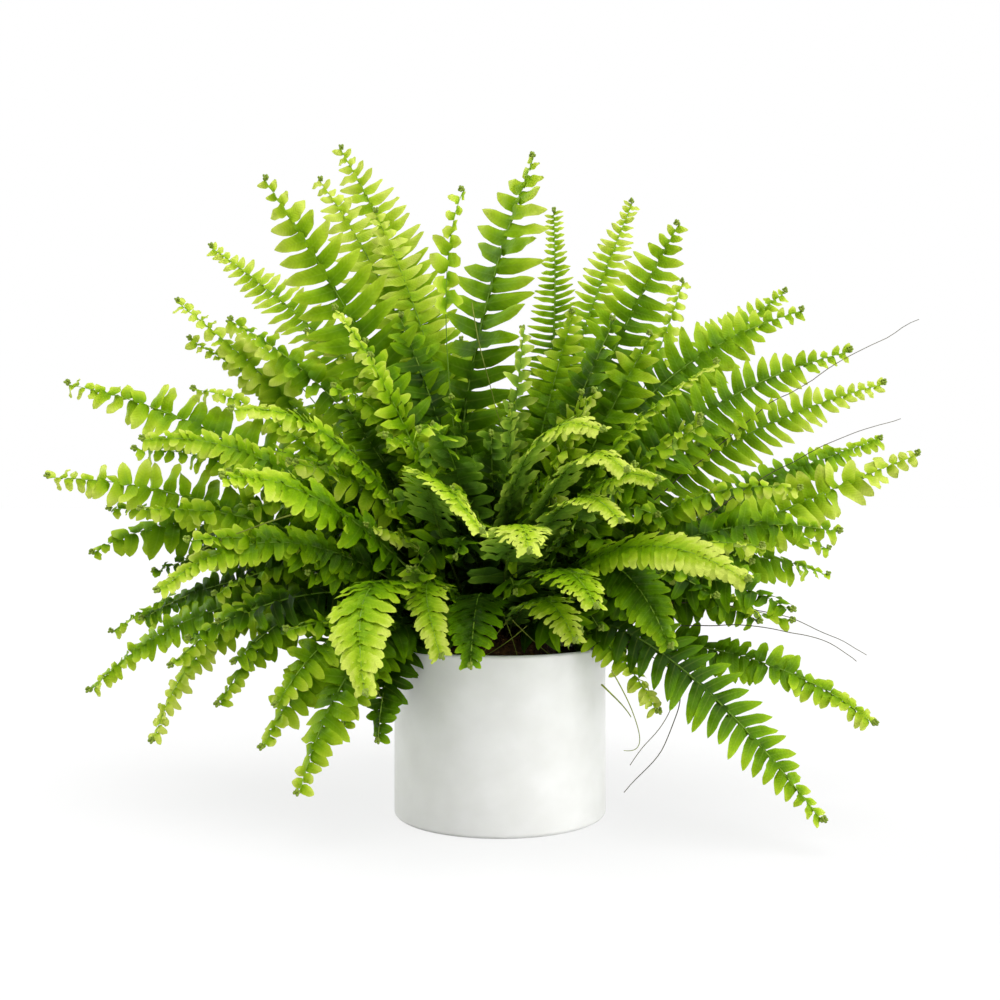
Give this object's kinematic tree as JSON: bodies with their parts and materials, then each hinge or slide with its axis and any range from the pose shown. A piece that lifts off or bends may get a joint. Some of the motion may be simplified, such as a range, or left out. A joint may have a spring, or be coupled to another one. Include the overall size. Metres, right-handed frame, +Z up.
{
  "type": "potted fern",
  "caption": "Bushy fern with arching feathery fronds and wiry runners, growing from a woody crown in soil in a plain straight-sided white ceramic pot with a thin round lip.",
  "frame": {"origin": "middle of the pot's flat underside", "axes": "+Z up along the pot's axis, +X to the right seen from the front, and the front of the plant faces -Y"},
  "size_m": [0.6313, 0.4804, 0.5084],
  "materials": {
    "pot": "matte",
    "soil": "matte",
    "crown": "matte",
    "leaf_deep": "satin",
    "leaf_green": "satin",
    "leaf_fresh": "satin",
    "leaf_young": "satin",
    "runner": "matte"
  },
  "bodies": {
    "root": {"pot": "pot", "soil": "soil", "crown": "crown", "frond_01": "leaf_fresh", "frond_02": "leaf_green", "frond_03": "leaf_fresh", "frond_04": "leaf_fresh", "frond_05": "leaf_green", "frond_06": "leaf_green", "frond_07": "leaf_fresh", "frond_08": "leaf_green", "frond_09": "leaf_fresh", "frond_10": "leaf_green", "frond_11": "leaf_green", "frond_12": "leaf_green", "frond_13": "leaf_fresh", "frond_14": "leaf_green", "frond_15": "leaf_fresh", "frond_16": "leaf_green", "frond_17": "leaf_green", "frond_18": "leaf_green", "frond_19": "leaf_young", "frond_20": "leaf_young", "frond_21": "leaf_fresh", "frond_22": "leaf_deep", "frond_23": "leaf_fresh", "frond_24": "leaf_fresh", "frond_25": "leaf_fresh", "frond_26": "leaf_deep", "frond_27": "leaf_young", "frond_28": "leaf_young", "frond_29": "leaf_deep", "frond_30": "leaf_fresh", "frond_31": "leaf_young", "frond_32": "leaf_deep", "frond_33": "leaf_green", "frond_34": "leaf_green", "frond_35": "leaf_fresh", "frond_36": "leaf_green", "frond_37": "leaf_green", "frond_38": "leaf_young", "frond_39": "leaf_green", "frond_40": "leaf_young", "frond_41": "leaf_fresh", "frond_42": "leaf_young", "frond_43": "leaf_fresh", "frond_44": "leaf_fresh", "frond_45": "leaf_green", "frond_46": "leaf_green", "frond_47": "leaf_green", "frond_48": "leaf_green", "frond_49": "leaf_deep", "frond_50": "leaf_green", "frond_51": "leaf_green", "runner_1": "runner", "runner_2": "runner", "runner_3": "runner", "runner_4": "runner", "runner_5": "runner", "runner_6": "runner"}
  },
  "joints": []
}
